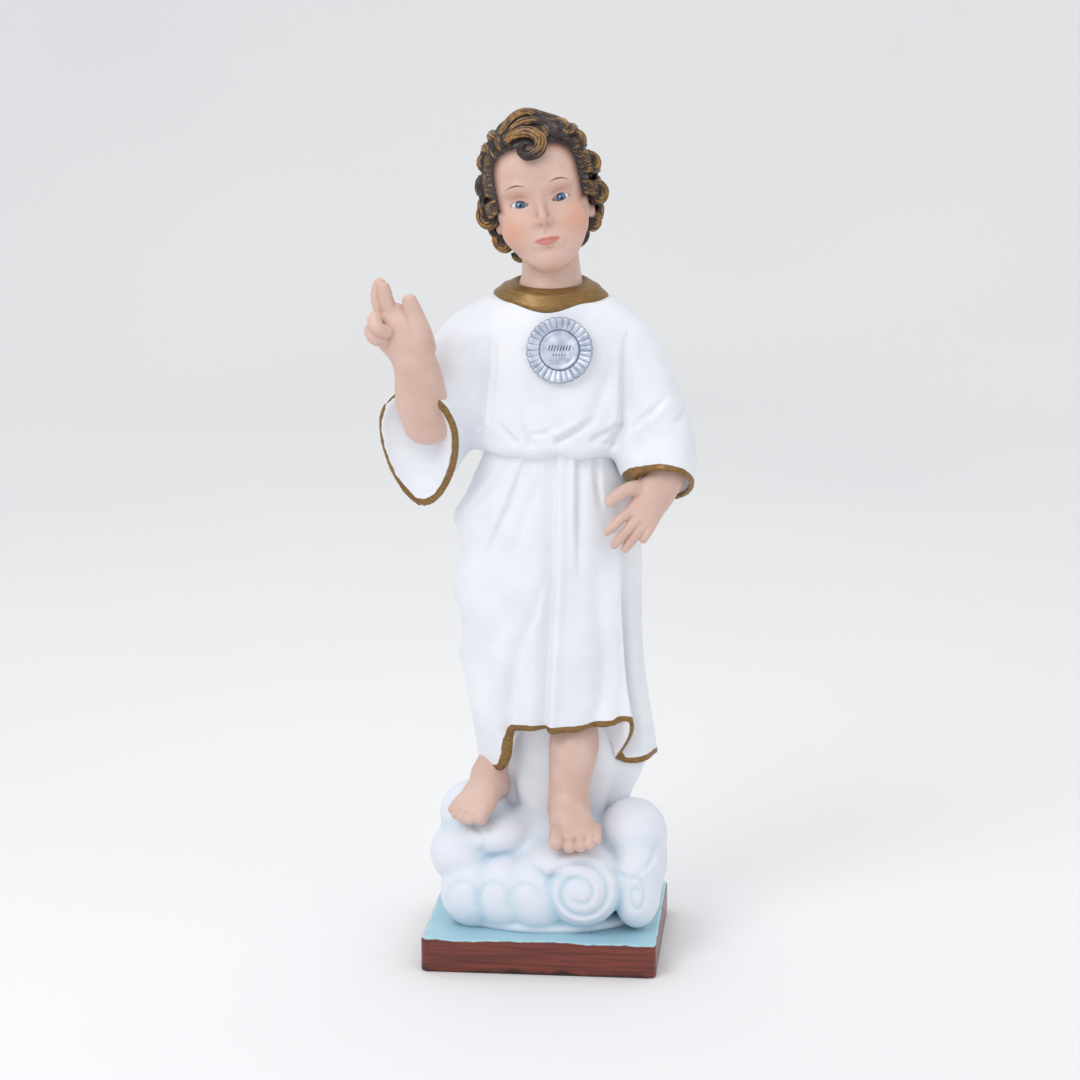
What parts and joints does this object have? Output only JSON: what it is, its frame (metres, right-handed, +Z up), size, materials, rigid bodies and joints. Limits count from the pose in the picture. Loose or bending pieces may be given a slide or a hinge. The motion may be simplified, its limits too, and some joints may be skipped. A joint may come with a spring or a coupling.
{
  "type": "devotional figure",
  "caption": "Standing child figure in a long tunic, one hand raised in blessing, on a cloud and a square base, cast in one piece and painted by hand.",
  "frame": {"origin": "centre of the square base's underside", "axes": "+Z up through the figure, -Y the way it faces, +X towards its left hand"},
  "size_m": [0.2195, 0.156, 0.602],
  "materials": {
    "robe_paint": "satin white paint over cast resin",
    "skin_paint": "satin skin paint, airbrushed warmer at cheeks and joints",
    "hair_paint": "dark brown paint with ochre strokes along the curls",
    "gold_paint": "satin bronze-gold paint",
    "silver_paint": "pearly silver paint with a dark wash in the flutes",
    "cloud_paint": "matt white paint, airbrushed pale blue in the hollows",
    "base_paint": "mahogany-brown paint with dark streaks on the sides, pale blue on top"
  },
  "bodies": {
    "root": {"statue": "robe_paint"}
  },
  "joints": []
}
